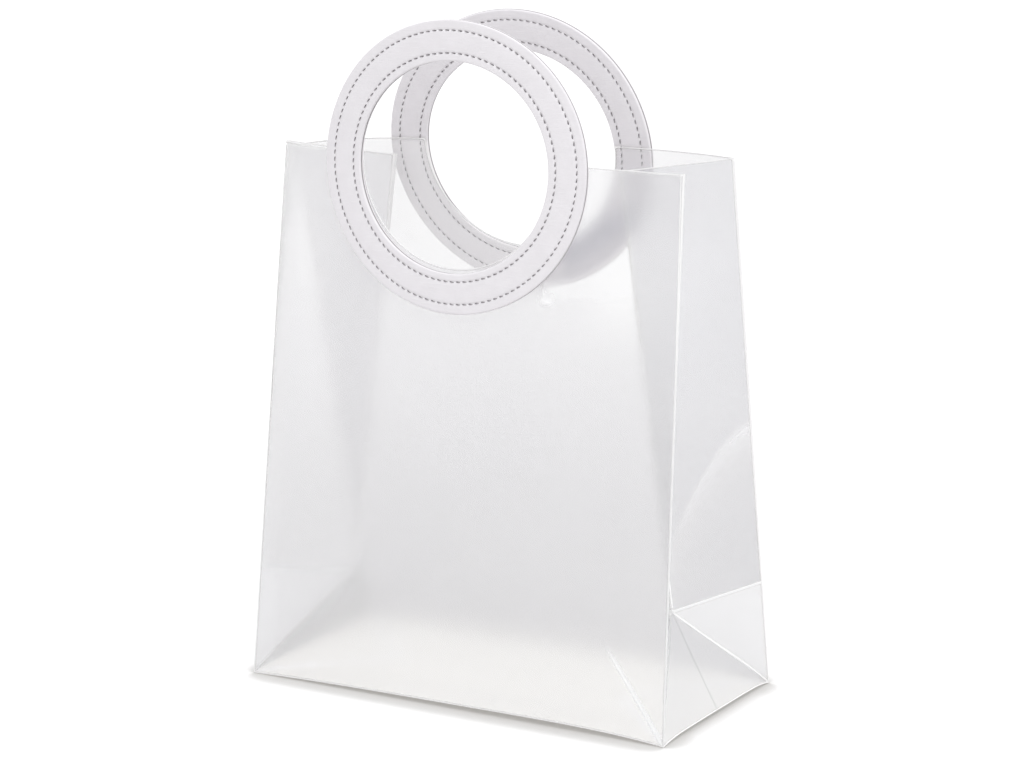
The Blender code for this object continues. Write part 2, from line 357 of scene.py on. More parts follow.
class Sheet:
    """Collects patches of film, with values at each point that the film's material reads."""

    names = ("press", "haze", "thin", "layers", "bend", "glow", "line", "trace")

    def __init__(self):
        self.points = []
        self.faces = []
        self.values = {name: [] for name in self.names}

    def add(self, points, faces, **values):
        start = len(self.points)
        self.points.extend(points)
        for name, found in self.values.items():
            found.extend(np.broadcast_to(values.get(name, 0.0), len(points)))
        self.faces.extend([[start + index for index in face] for face in faces])

    def add_grid(self, points, press, **values):
        """Patch from a grid of points, rows by columns."""
        rows, columns = press.shape
        faces = []
        for row in range(rows - 1):
            for column in range(columns - 1):
                corner = row * columns + column
                faces.append([corner, corner + 1, corner + columns + 1, corner + columns])
        flat = {name: np.broadcast_to(value, press.shape).reshape(-1) for name, value in values.items()}
        self.add(list(points.reshape(-1, 3)), faces, press=press.reshape(-1), **flat)


def pressed(distance, strength=1.0):
    """Full at a fold line, nothing past its reach."""
    return strength * np.clip(1.0 - np.abs(distance) / FOLD_REACH, 0.0, 1.0)


def past(value, start, width):
    """Soft border: 0 up to a start, growing to 1 over a width past it."""
    return ease((value - start) / width)


def before(value, end, width):
    """Soft border: 1 until a width before an end, falling to 0 there."""
    return ease((end - value) / width)


def spot(along, height, middle, reach, strength=1.0):
    """Soft round or oval spot on a panel, strongest at its middle."""
    across = (along - middle[0]) / reach[0]
    up = (height - middle[1]) / reach[1]
    return strength * np.exp(-across ** 2 - up ** 2)


def band_distance(along, height):
    return np.hypot(along - DARK_BAND[0], height - DARK_BAND[1]) - DARK_BAND_RADIUS


def front_painted_light_and_shade(along, height):
    """Painted light and shade: whiter film beside the left fold, painted glints at the small puckers under
    the ring, darker film beside them, and the shade band and highlight wedge by the ring.
    """
    border = LEFT_STRIP - LEFT_STRIP_SLANT * height
    haze = LEFT_STRIP_WHITE * before(along, border, LEFT_STRIP_BORDER)
    haze = haze * before(height, LEFT_STRIP_TOP, LEFT_STRIP_FADE)
    for middle, reach, strength in PAINTED_LIGHT_SPOTS:
        haze = haze + spot(along, height, middle, reach, strength)
    # Painted shade: the dark band beside the ring
    band = np.exp(-(band_distance(along, height) / DARK_BAND_WIDTH) ** 2)
    band = band * past(along, DARK_BAND_LEFT, 0.008) * before(height, DARK_BAND_TOP, 0.018)
    return haze - band + WEDGE_WHITE * bright_wedge(along, height)


def bright_wedge(along, height):
    """Painted highlight: clear, bright film between the dark band, the pucker and the gusset's fold."""
    floor_line = WEDGE_FLOOR + WEDGE_SLOPE * (along - WEDGE_SLOPE_START)
    inside = past(height, floor_line, WEDGE_BORDER)
    inside = inside * past(band_distance(along, height), WEDGE_BAND_GAP, WEDGE_BORDER)
    inside = inside * before(along, WEDGE_RIGHT, WEDGE_RIGHT_BORDER) * past(along, WEDGE_LEFT, WEDGE_BORDER)
    return inside * (height < WEDGE_TOP)


def crease_place(along, height):
    """Share of the corner crease's run that is nearest to a place, and the distance from its line."""
    start = np.array(CREASE_START)
    step = np.array(CREASE_END) - start
    length = np.hypot(*step)
    run = ((along - start[0]) * step[0] + (height - start[1]) * step[1]) / length ** 2
    off = ((along - start[0]) * step[1] - (height - start[1]) * step[0]) / length
    return run, off


def crease_line(along, height):
    """Distance from the slanting crease that rises from the front panel's lower right corner."""
    return crease_place(along, height)[1]


def crease_trace(along, height):
    """How white that crease is along its run."""
    run = crease_place(along, height)[0]
    return (1 - CREASE_FADE * run ** 2) * before(run, 1.0, CREASE_TIP) * (run > -0.02)


def near_back_ring(along, height):
    """1 around the left part of the back ring, where the film gets a painted sheen."""
    away = np.hypot(along, height - RING_HEIGHT)
    close = before(away, RING_OUTER_RADIUS + BACK_RING_REACH, BACK_RING_BORDER)
    return close * before(along, BACK_RING_SIDE, BACK_RING_SIDE)


def back_painted_sheen(along, height):
    # Painted sheen on the film over the back ring
    return BACK_RING_SHEEN * near_back_ring(along, height)


def front_painted_light(along, height):
    # Painted light: the bright spots and the highlight wedge
    bright = np.maximum(spot(along, height, *FRONT_PAINTED_LIGHT), spot(along, height, *LEFT_PAINTED_LIGHT))
    return np.maximum(bright, WEDGE_BRIGHTENING * bright_wedge(along, height))


def back_painted_light(along, height):
    # Painted light: the bright spot, and the painted sheen over the back ring
    return np.maximum(spot(along, height, *BACK_PAINTED_LIGHT), BACK_RING_BRIGHTENING * near_back_ring(along, height))


def add_flat_patch(sheet, spots, edges, inside, place, **values):
    """Patch from spots on the flat film, in metres, joined by triangles where inside() says so."""
    scale = 1000.0
    flat = [Vector((x * scale, y * scale)) for x, y in spots]
    verts, _, faces, *_ = delaunay_2d_cdt(flat, edges, [], 0, 1e-5)
    found = np.array([[v.x, v.y] for v in verts]) / scale
    kept = [face for face in faces if inside(*found[list(face)].mean(axis=0))]
    used = sorted({index for face in kept for index in face})
    order = {index: position for position, index in enumerate(used)}
    chosen = found[used]
    points = place(chosen[:, 0], chosen[:, 1])
    found_values = {name: value(chosen[:, 0], chosen[:, 1]) for name, value in values.items()}
    sheet.add(list(points), [[order[index] for index in face] for face in kept], **found_values)


def add_panel(sheet, panel, level_fold, **looks):
    """Panel with its round cut-out, its side folds, its base fold and a level fold where it has one."""
    centre = RING_HEIGHT + CUTOUT_RISE
    spots = []
    for height in ROWS:
        for along in COLUMNS:
            if math.hypot(along, height - centre) > CUTOUT_RADIUS + CUTOUT_CLEAR:
                spots.append((along, height))
    if panel.chamfer:
        for height in ROWS[ROWS > CHAMFER_FOOT]:
            line = float(panel.chamfer_line(height))
            if HALF_WIDTH - line > CHAMFER_LEAST:
                spots += [(line + shift, height) for shift in (0.0, -CHAMFER_STEP, CHAMFER_STEP)]
        left, right, low, high = PUCKER_AREA
        for along in np.arange(PUCKER[0] + left, PUCKER[0] + right, PUCKER_STEP):
            for height in np.arange(PUCKER[1] + low, PUCKER[1] + high, PUCKER_STEP):
                spots.append((along, height))
        left, right, low, high = WEDGE_AREA
        for along in np.arange(left, right, WEDGE_STEP):
            for height in np.arange(low, high, WEDGE_STEP):
                if max(abs(along - PUCKER[0] - 0.001), abs(height - PUCKER[1] - 0.001)) > PUCKER_CLEAR:
                    spots.append((along, height))
    reach = math.asin((PANEL_HEIGHT - centre) / CUTOUT_RADIUS)
    angles = np.linspace(-math.pi - reach, reach, CUTOUT_POINTS)
    start = len(spots)
    for angle in angles:
        spots.append((CUTOUT_RADIUS * math.cos(angle), centre + CUTOUT_RADIUS * math.sin(angle)))
    edges = [(start + index, start + index + 1) for index in range(len(angles) - 1)]
    for extra in CUTOUT_RINGS:
        wider = CUTOUT_RADIUS + extra
        reach = math.asin((PANEL_HEIGHT - centre) / wider)
        for angle in np.linspace(-math.pi - reach, reach, CUTOUT_POINTS):
            spots.append((wider * math.cos(angle), centre + wider * math.sin(angle)))

    def inside(along, height):
        return math.hypot(along, height - centre) > CUTOUT_RADIUS * 0.9999

    def press(along, height):
        line = panel.chamfer_line(height)
        narrow = 1.0 + 2.2 * np.where(along > 0, (HALF_WIDTH - line) / CHAMFER_WIDTH, 0.0)
        value = pressed((HALF_WIDTH - np.abs(along)) * narrow)
        value = np.maximum(value, pressed(height, BASE_EDGE))
        # Cut edges, top and round: painted highlight
        value = np.maximum(value, pressed(PANEL_HEIGHT - height, CUT_EDGE))
        value = np.maximum(value, pressed(np.hypot(along, height - centre) - CUTOUT_RADIUS, CUT_EDGE))
        if level_fold:
            value = np.maximum(value, pressed(height - HALF_DEPTH, BACK_LEVEL_FOLD))
        if panel.chamfer:
            value = np.maximum(value, np.where(height > CHAMFER_FOOT, pressed((along - line) * narrow), 0))
        return value

    def place(along, height):
        if not panel.chamfer:
            return panel.surface(along, height)
        swelling = sum(spot(along, height, *pucker) for pucker in PUCKERS)
        return panel.point(along, height, swelling)

    add_flat_patch(sheet, spots, edges, inside, place, press=press, **looks)


def add_base(sheet):
    """Base panel with the two pairs of slanting folds at its corners."""
    spots = [(x, y) for y in DEPTHS for x in COLUMNS]
    for hand in (-1, 1):
        for step in np.linspace(0.0, HALF_DEPTH, 15)[:-1]:
            for shift in (-FOLD_STEP, 0.0, FOLD_STEP):
                for side in (-1, 1):
                    x = HALF_WIDTH - HALF_DEPTH + step + shift
                    if x < HALF_WIDTH - 3 * FOLD_STEP:
                        spots.append((hand * x, side * step))
    spots = list(dict.fromkeys((round(x, 7), round(y, 7)) for x, y in spots))

    def inside(x, y):
        return True

    def place(x, y):
        return np.stack([x, y, np.zeros_like(x)], axis=-1)

    def press(x, y):
        slant = (HALF_WIDTH - np.abs(x)) - (HALF_DEPTH - np.abs(y))
        value = np.where(np.abs(x) > HALF_WIDTH - HALF_DEPTH - 0.0005, pressed(slant * 0.5, 0.9), 0.0)
        value = np.maximum(value, pressed(HALF_WIDTH - np.abs(x), BASE_EDGE))
        return np.maximum(value, pressed(HALF_DEPTH - np.abs(y), BASE_EDGE))

    add_flat_patch(sheet, spots, [], inside, place, press=press, layers=lambda x, y: 1.0)


def gusset_bend(share, height):
    """Line of the painted bend highlight across one gusset half: how far below it a place is, along the
    height.
    """
    return BEND_TOP - BEND_FALL * share ** BEND_CURVE - height


def gusset_painted_light_and_shade(gusset, side, share, height):
    """Painted light and shade: whiter film on the folded corner and just above the level fold, darker on the
    right back half.
    """
    low = height < HALF_DEPTH
    if side > 0:
        haze = np.where(low, BACK_CORNER_LIGHT, 0.0)
    else:
        high = 0.0
        if gusset.hand < 0:
            high = LEFT_FRONT_LIGHT * past(height, LEFT_FRONT_LIGHT_FROM, LEFT_FRONT_LIGHT_OVER)
        haze = np.where(low, FRONT_CORNER_LIGHT[gusset.hand], high)
    strip_top = HALF_DEPTH + STRIP_HEIGHT + STRIP_WIDENING * share
    haze = haze + STRIP_LIGHT * before(height, strip_top, STRIP_HEIGHT) * (height >= HALF_DEPTH)
    if gusset.hand > 0 and side > 0:
        darker = RIGHT_BACK_DARK_RISE * past(height, RIGHT_BACK_DARK_FROM, RIGHT_BACK_DARK_OVER)
        haze = haze - (RIGHT_BACK_DARK + darker) * (height > HALF_DEPTH)
    return haze


def add_gusset(sheet, gusset):
    """Two halves with the pressed strips beside them, and the triangle between their diagonals."""
    right = gusset.hand > 0
    upper = ROWS[ROWS >= HALF_DEPTH - 1e-9]
    lower = ROWS[ROWS <= HALF_DEPTH + 1e-9]
    heights = ROWS[:, None]
    for side in (-1, 1):
        panel = gusset.panels[side]
        edge = gusset.edge_point(side, ROWS)
        fold = gusset.fold_point(side, ROWS)
        shares = (FINE_SHARES if right and side > 0 else SHARES)[None, :]
        points = edge[:, None, :] + (fold - edge)[:, None, :] * shares[..., None]
        width = np.linalg.norm(fold - edge, axis=1)[:, None]
        # The right gusset's front diagonal and the fold just above it lie on the panel's fold, without a line
        quiet = before(heights, HALF_DEPTH + QUIET_DIAGONAL_RISE, QUIET_DIAGONAL_FADE)
        soft = (right and side < 0) * quiet
        press = pressed(width * shares)
        press = np.maximum(press, pressed(width * (1 - shares), 1.0 - soft))
        press = np.maximum(press, pressed(heights - HALF_DEPTH, 1.0 if right else LEFT_LEVEL_FOLD))
        # Top cut edge: painted highlight
        press = np.maximum(press, pressed(PANEL_HEIGHT - heights, CUT_EDGE))
        haze = gusset_painted_light_and_shade(gusset, side, shares, heights)
        bend = gusset_bend(shares, heights)
        # Painted highlight along the bend line, on the right back half only
        glow = BEND_HIGHLIGHT * (1 - BEND_HIGHLIGHT_FADE * shares) if right and side > 0 else 0.0
        # Brightened front halves: painted light
        thin = FRONT_HALF_BRIGHTENING[gusset.hand] * (side < 0)
        sheet.add_grid(points, press, haze=haze, thin=thin, bend=bend, glow=glow)
        corner = panel.surface(np.full_like(ROWS, gusset.edge), ROWS)
        sheet.add_grid(np.stack([corner, edge], axis=1), np.ones((len(ROWS), 2)))
    strip = np.stack([gusset.fold_point(-1, upper), gusset.fold_point(1, upper)], axis=1)
    sheet.add_grid(strip, np.ones((len(upper), 2)))
    front = gusset.fold_point(-1, lower)
    back = gusset.fold_point(1, lower)
    shares = ((DEPTHS + HALF_DEPTH) / BAG_DEPTH)[None, :]
    points = front[:, None, :] + (back - front)[:, None, :] * shares[..., None]
    width = np.linalg.norm(back - front, axis=1)[:, None]
    press = np.maximum(pressed(lower[:, None], BASE_EDGE), pressed(width * (1 - shares) * 0.7))
    if not right:
        press = np.maximum(press, pressed(width * shares * 0.7))
    # Bottom triangle: painted shade, lighter towards the back
    haze = TRIANGLE_SHADE + TRIANGLE_SHADE_RISE * shares
    # Painted shade line along the triangle's middle crease
    middle_line = width * (shares - 0.5) * 2.0
    sheet.add_grid(points, press, haze=haze, line=middle_line, trace=TRIANGLE_SHADE_LINE)


def base_lift(points):
    """The base edges arch up a little between the corners that carry the bag."""
    x = np.clip(points[:, 0] / HALF_WIDTH, -1, 1)
    y = np.clip(points[:, 1] / HALF_DEPTH, -1, 1)
    arch = 1 - x ** 4
    side_arch = 1 - y ** 6
    tilt = FRONT_LIFT_MIDDLE + FRONT_LIFT_TILT * x
    front = FRONT_LIFT * arch * tilt * ease(1 - (1 + y) * LIFT_DEPTH_SPREAD)
    back = BACK_LIFT * arch * ease(1 - (1 - y) * LIFT_DEPTH_SPREAD)
    right = SIDE_LIFT * side_arch * ease(1 - (1 - x) * LIFT_WIDTH_SPREAD)
    left = SIDE_LIFT * LEFT_LIFT_SHARE * side_arch * ease(1 - (1 + x) * LIFT_WIDTH_SPREAD)
    lift = np.maximum(np.maximum(front, back), np.maximum(right, left))
    return lift * np.clip(1 - points[:, 2] / LIFT_HEIGHT, 0, 1) ** 2


def new_object(name, mesh, body="root"):
    thing = bpy.data.objects.new(name, mesh)
    bpy.context.scene.collection.objects.link(thing)
    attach(thing, body)
    return thing


def add_values(mesh, name, values):
    """Stores one value per point for the material to read."""
    marks = mesh.attributes.new(name, "FLOAT", "POINT")
    marks.data.foreach_set("value", np.asarray(values, np.float32).reshape(-1))


def turn_faces_outward(mesh):
    shape = bmesh.new()
    shape.from_mesh(mesh)
    bmesh.ops.recalc_face_normals(shape, faces=shape.faces)
    shape.to_mesh(mesh)
    shape.free()


def make_film(front, back, gussets, material):
    """The folded sheet as one welded surface, given its thickness inward."""
    sheet = Sheet()
    add_panel(sheet, front, False, haze=front_painted_light_and_shade, thin=front_painted_light, line=crease_line, trace=crease_trace)
    add_panel(sheet, back, True, haze=back_painted_sheen, thin=back_painted_light)
    add_base(sheet)
    for gusset in gussets:
        add_gusset(sheet, gusset)
    points = np.array(sheet.points)
    points[:, 2] += base_lift(points)
    mesh = bpy.data.meshes.new("film_body")
    mesh.from_pydata([tuple(point) for point in points], [], sheet.faces)
    for name, found in sheet.values.items():
        add_values(mesh, name, found)
    shape = bmesh.new()
    shape.from_mesh(mesh)
    bmesh.ops.remove_doubles(shape, verts=shape.verts, dist=0.00002)
    bmesh.ops.dissolve_degenerate(shape, edges=shape.edges, dist=0.00001)
    bmesh.ops.recalc_face_normals(shape, faces=shape.faces)
    front_face = min(shape.faces, key=lambda face: face.calc_center_median().y)
    if front_face.normal.y > 0:
        bmesh.ops.reverse_faces(shape, faces=shape.faces)
    shape.to_mesh(mesh)
    shape.free()
    mesh.materials.append(material)
    film = bpy.data.objects.new("film_sheet", mesh)
    bpy.context.scene.collection.objects.link(film)
    shell = film.modifiers.new("thickness", "SOLIDIFY")
    shell.thickness = FILM
    shell.offset = -1.0
    shell.use_even_offset = True
    shell.use_quality_normals = True
    bpy.context.view_layer.update()
    shaped = film.evaluated_get(bpy.context.evaluated_depsgraph_get())
    solid = bpy.data.meshes.new_from_object(shaped)
    bpy.data.objects.remove(film)
    solid.shade_smooth()
    solid.set_sharp_from_angle(angle=math.radians(12))
    film = new_object("film_body", solid)
    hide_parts("bag_body")


def ring_section(low, high, face_up):
    """Closed section of one leather layer as radius and height, show face first."""
    outer = RING_OUTER_RADIUS
    inner = RING_INNER_RADIUS
    face, back = (high, low) if face_up else (low, high)
    sign = 1 if face_up else -1
    section = []
    turns = 5
    for step in range(turns + 1):
        angle = math.pi / 2 * step / turns
        section.append((outer - EDGE_ROUND * (1 - math.cos(angle)),
                        face - sign * EDGE_ROUND * (1 - math.sin(angle))))
    radii = list(np.arange(outer - EDGE_ROUND - SECTION_STEP, inner + EDGE_ROUND + 0.0003, -SECTION_STEP))
    for row in (OUTER_ROW_RADIUS, INNER_ROW_RADIUS):
        radii = [radius for radius in radii if abs(radius - row) > CHANNEL_WIDTH * 0.75]
        radii += [row + CHANNEL_WIDTH * share for share in CHANNEL_SHARES]
    for radius in sorted(radii, reverse=True):
        section.append((radius, face))
    for step in range(turns + 1):
        angle = math.pi / 2 * step / turns
        section.append((inner + EDGE_ROUND * (1 - math.sin(angle)),
                        face - sign * EDGE_ROUND * (1 - math.cos(angle))))
    small = EDGE_ROUND * 0.35
    section.append((inner, back + sign * small * 2.2))
    section.append((inner, back + sign * small))
    section.append((inner + small, back))
    section.append((outer - small, back))
    section.append((outer, back + sign * small))
    section.append((outer, back + sign * small * 2.2))
    return np.array(section), sign, face


def stitch_count(radius):
    return round(math.tau * radius / STITCH_PITCH)


def make_layer(name, panel, low, high, face_up, material, node):
    """One leather layer with sunk thread channels and needle holes on its show face."""
    section, sign, face = ring_section(low, high, face_up)
    columns = COLUMNS_PER_STITCH * stitch_count(OUTER_ROW_RADIUS)
    angles = np.arange(columns) * math.tau / columns
    radius = np.repeat(section[None, :, 0], columns, axis=0)
    height = np.repeat(section[None, :, 1], columns, axis=0)
    on_face = np.abs(section[:, 1] - face) < 1e-7
    # Painted glints on the leather at each needle hole
    needle_glint = np.zeros_like(height)
    for row in (OUTER_ROW_RADIUS, INNER_ROW_RADIUS):
        near = np.exp(-((section[:, 0] - row) / (CHANNEL_WIDTH * 0.36)) ** 2) * on_face
        phase = angles * stitch_count(row) / math.tau
        hole = np.clip(np.cos(phase * math.tau), 0, 1) ** 6
        depth = CHANNEL_DEPTH * (1 - 0.35 * hole[:, None]) * near[None, :]
        height -= sign * depth
        needle_glint += hole[:, None] * (np.exp(-((section[:, 0] - row) / 0.0004) ** 2) * on_face)[None, :]
    middle = (RING_OUTER_RADIUS + RING_INNER_RADIUS) / 2
    crown = CROWN_RISE * np.clip(1 - ((section[:, 0] - middle) / CROWN_REACH) ** 2, 0, 1) * on_face
    height += sign * crown[None, :]
    along = -panel.side * radius * np.cos(angles)[:, None]
    up = RING_HEIGHT + radius * np.sin(angles)[:, None]
    points = panel.point(along, up, height).reshape(-1, 3)
    count = len(section)
    faces = []
    for column in range(columns):
        after = (column + 1) % columns
        for index in range(count):
            following = (index + 1) % count
            faces.append((column * count + index, after * count + index,
                          after * count + following, column * count + following))
    mesh = bpy.data.meshes.new(name)
    mesh.from_pydata([tuple(point) for point in points], [], faces)
    add_values(mesh, "needle_glint", needle_glint)
    # Dark line along the layer's back edges at the joint: glue line and painted shade in the gap between the
    # layers
    seam = np.zeros(count)
    seam[-5:-1] = 1.0
    add_values(mesh, "joint", np.tile(seam, columns))
    # Painted sheen: the back ring's inner leather just under the film's top edge is coloured lighter
    covered = before(up, PANEL_HEIGHT - 0.0008, 0.0015) * before(along, 0.020, 0.030) * (panel.side > 0)
    add_values(mesh, "film_sheen", covered * (not face_up))
    turn_faces_outward(mesh)
    mesh.shade_smooth()
    mesh.materials.append(material)
    layer = new_object(name, mesh)
    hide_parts(node)


def make_stitches(name, panel, row, surface, sign, material, node):
    """One row of separate stitches: short threads that dive into the leather at both ends."""
    count = stitch_count(row)
    sides = STITCH_SIDES
    lengths = np.linspace(-0.5, 0.5, STITCH_RINGS)
    points = []
    runs = []
    faces = []
    for index in range(count):
        turn = math.tau * (index + 0.5) / count
        first = len(points)
        for share in lengths:
            reach = share * STITCH_LENGTH
            slant = math.sin(STITCH_SLANT) * reach * -panel.side
            dive = STITCH_SINK + STITCH_DIVE * abs(2 * share) ** 5
            swell = STITCH_RADIUS * (1 - 0.35 * abs(2 * share) ** 4)
            angle = turn + reach / row
            for side in range(sides):
                around = math.tau * side / sides
                radius = row + slant + swell * math.cos(around)
                height = surface + sign * (swell * math.sin(around) - dive)
                points.append((-panel.side * radius * math.cos(angle),
                               RING_HEIGHT + radius * math.sin(angle), height))
                runs.append(share + 0.5)
        for ring in range(len(lengths) - 1):
            for side in range(sides):
                following = (side + 1) % sides
                low = first + ring * sides
                high = low + sides
                faces.append((low + side, low + following, high + following, high + side))
        faces.append(tuple(first + side for side in range(sides)))
        last = first + (len(lengths) - 1) * sides
        faces.append(tuple(last + side for side in reversed(range(sides))))
    flat = np.array(points)
    placed = panel.point(flat[:, 0], flat[:, 1], flat[:, 2])
    mesh = bpy.data.meshes.new(name)
    mesh.from_pydata([tuple(point) for point in placed], [], faces)
    add_values(mesh, "run", runs)
    turn_faces_outward(mesh)
    mesh.shade_smooth()
    mesh.materials.append(material)
    row_object = new_object(name, mesh)
    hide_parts(node)


def make_ring(name, panel, leather, thread):
    """Two layers of leather on one panel, with two rows of stitches on each side."""
    inner_low = SEAT_GAP
    inner_high = inner_low + LEATHER
    outer_low = inner_high + SEAT_GAP
    outer_high = outer_low + LEATHER
    make_layer(name + "_inner_layer", panel, inner_low, inner_high, False, leather, name + "_inner_leather")
    make_layer(name + "_outer_layer", panel, outer_low, outer_high, True, leather, name + "_outer_leather")
    rows = (("outer_row", OUTER_ROW_RADIUS), ("inner_row", INNER_ROW_RADIUS))
    for row, radius in rows:
        make_stitches(name + "_" + row + "_stitches_inside", panel, radius, inner_low, -1, thread,
                      name + "_" + row + "_thread_inside")
        make_stitches(name + "_" + row + "_stitches_outside", panel, radius, outer_high, 1, thread,
                      name + "_" + row + "_thread_outside")


class Nodes:
    """Short way to add and join shader nodes."""

    def __init__(self, tree):
        self.tree = tree
        tree.nodes.clear()

    def add(self, kind, inputs=None, **settings):
        node = self.tree.nodes.new(kind)
        for key, value in settings.items():
            setattr(node, key, value)
        for key, value in (inputs or {}).items():
            if isinstance(value, bpy.types.NodeSocket):
                self.tree.links.new(value, node.inputs[key])
            else:
                node.inputs[key].default_value = value
        return node

    def attribute(self, name):
        return self.add("ShaderNodeAttribute", attribute_name=name).outputs["Fac"]

    def math(self, operation, *values):
        node = self.add("ShaderNodeMath", dict(enumerate(values)), operation=operation)
        return node.outputs[0]

    def ramp(self, value, low, high, start, end):
        """Maps a value from one range to another, smoothly and without going past the ends."""
        node = self.add("ShaderNodeMapRange",
                        {"Value": value, "From Min": low, "From Max": high, "To Min": start, "To Max": end},
                        interpolation_type="SMOOTHSTEP")
        return node.outputs["Result"]

    def blend(self, share, first, second):
        """Colour between two colours."""
        node = self.add("ShaderNodeMix", data_type="RGBA")
        for socket, value in ((node.inputs[0], share), (node.inputs[6], first), (node.inputs[7], second)):
            if isinstance(value, bpy.types.NodeSocket):
                self.tree.links.new(value, socket)
            else:
                socket.default_value = value
        return node.outputs[2]


def new_material(name):
    material = bpy.data.materials.new(name)
    material.use_nodes = True
    return material, Nodes(material.node_tree)


# Colours of the film: clouded, painted shade, painted light, whiter, doubled, pressed, painted shade line,
# and of passing light
CLOUD_TONES = ((0.966, 0.963, 0.970, 1), (0.960, 0.957, 0.964, 1))
PAINTED_SHADE_TONE = (0.79, 0.80, 0.83, 1)
BRIGHTENED_TONE = (0.995, 0.995, 0.995, 1)
WHITE_TONE = (0.99, 0.99, 0.99, 1)
DOUBLED_TONE = (0.976, 0.968, 0.930, 1)
PRESSED_TONE = (0.995, 0.995, 0.993, 1)
SHADED_TONE = (0.74, 0.74, 0.75, 1)
PASSED_TONES = ((0.985, 0.983, 0.985, 1), (0.60, 0.585, 0.56, 1))
FILM_ROUGHNESS = 0.22
FILM_CLEAR = 0.93
WHITE_CLOUDING = 0.78
BRIGHTENED_CLEARING = 0.06
BRIGHTENED_SMOOTHING = 0.10
FILM_IOR = 1.49


def film_material():
    """Frosted polypropylene: light passes softened, and pressed folds are whiter and less clear."""
    material, nodes = new_material("frosted_film")
    place = nodes.add("ShaderNodeTexCoord").outputs["Object"]
    press = nodes.attribute("press")
    fold = nodes.ramp(press, *FOLD_SEEN, 0.0, 1.0)
    haze = nodes.attribute("haze")
    thin = nodes.attribute("thin")
    layers = nodes.attribute("layers")
    bend = nodes.attribute("bend")
    glow = nodes.attribute("glow")
    # Painted highlight just below the bend line, as strong as glow
    above = nodes.ramp(bend, *BEND_BORDER, 0.0, 1.0)
    below = nodes.math("EXPONENT", nodes.math("MULTIPLY", nodes.math("MAXIMUM", bend, 0.0), -BEND_DECAY))
    haze = nodes.math("ADD", haze, nodes.math("MULTIPLY", nodes.math("MULTIPLY", above, below), glow))
    line = nodes.attribute("line")
    trace = nodes.attribute("trace")
    near = nodes.ramp(nodes.math("ABSOLUTE", line), *LINE_REACH, 1.0, 0.0)
    # The slanting crease's own whiteness joins the painted light here
    haze = nodes.math("ADD", haze, nodes.math("MULTIPLY", near, nodes.math("MAXIMUM", trace, 0.0)))
    # A negative trace gives a painted shade line
    shade = nodes.math("MULTIPLY", near, nodes.math("MAXIMUM", nodes.math("MULTIPLY", trace, -1.0), 0.0))
    cloud = nodes.add("ShaderNodeTexNoise", {"Vector": place, "Scale": 22.0, "Detail": 2.0})
    cloud = nodes.ramp(cloud.outputs["Fac"], 0.3, 0.7, 0.0, 1.0)
    doubled = nodes.math("MULTIPLY", layers, 0.9)
    white = nodes.math("MAXIMUM", fold, nodes.math("MAXIMUM", haze, doubled))
    # Painted shade where the light-and-shade value falls below zero
    dark = nodes.math("MAXIMUM", nodes.math("MULTIPLY", haze, -1.0), 0.0)
    colour = nodes.blend(cloud, *CLOUD_TONES)
    for share, tone in ((dark, PAINTED_SHADE_TONE), (thin, BRIGHTENED_TONE), (white, WHITE_TONE),
                        (layers, DOUBLED_TONE), (fold, PRESSED_TONE), (shade, SHADED_TONE)):
        colour = nodes.blend(share, colour, tone)
    roughness = nodes.math("ADD", nodes.math("MULTIPLY", cloud, 0.02), FILM_ROUGHNESS)
    roughness = nodes.math("SUBTRACT", roughness, nodes.math("MULTIPLY", thin, BRIGHTENED_SMOOTHING))
    clear = nodes.math("SUBTRACT", FILM_CLEAR, nodes.math("MULTIPLY", white, WHITE_CLOUDING))
    clear = nodes.math("ADD", clear, nodes.math("MULTIPLY", thin, BRIGHTENED_CLEARING))
    bump = nodes.add("ShaderNodeBump", {"Height": fold, "Strength": 0.6, "Distance": 0.0002})
    shader = nodes.add("ShaderNodeBsdfPrincipled", {
        "Base Color": colour,
        "Roughness": roughness,
        "Transmission Weight": clear,
        "IOR": FILM_IOR,
        "Normal": bump.outputs["Normal"],
    })
    dense = nodes.math("MAXIMUM", fold, doubled)
    let_through = nodes.blend(dense, *PASSED_TONES)
    passing = nodes.add("ShaderNodeBsdfTransparent", {"Color": let_through})
    rays = nodes.add("ShaderNodeLightPath").outputs
    soft = nodes.add("ShaderNodeMixShader",
                     {0: rays["Is Diffuse Ray"], 1: shader.outputs[0], 2: passing.outputs[0]})
    mixed = nodes.add("ShaderNodeMixShader",
                      {0: rays["Is Shadow Ray"], 1: soft.outputs[0], 2: passing.outputs[0]})
    nodes.add("ShaderNodeOutputMaterial", {"Surface": mixed.outputs[0]})
    return material


# Colours of the leather: its two close tones, scratches, painted glints at the needle holes, painted sheen
# under the film and the dark joint line of glue and painted shade
LEATHER_TONES = ((0.84, 0.815, 0.837, 1), (0.865, 0.84, 0.863, 1))
SCRATCH_TONE = (0.93, 0.915, 0.93, 1)
NEEDLE_GLINT_TONE = (0.98, 0.97, 0.98, 1)
FILM_SHEEN_TONE = (0.985, 0.965, 0.975, 1)
JOINT_GLUE_AND_SHADE_TONE = (0.36, 0.34, 0.35, 1)


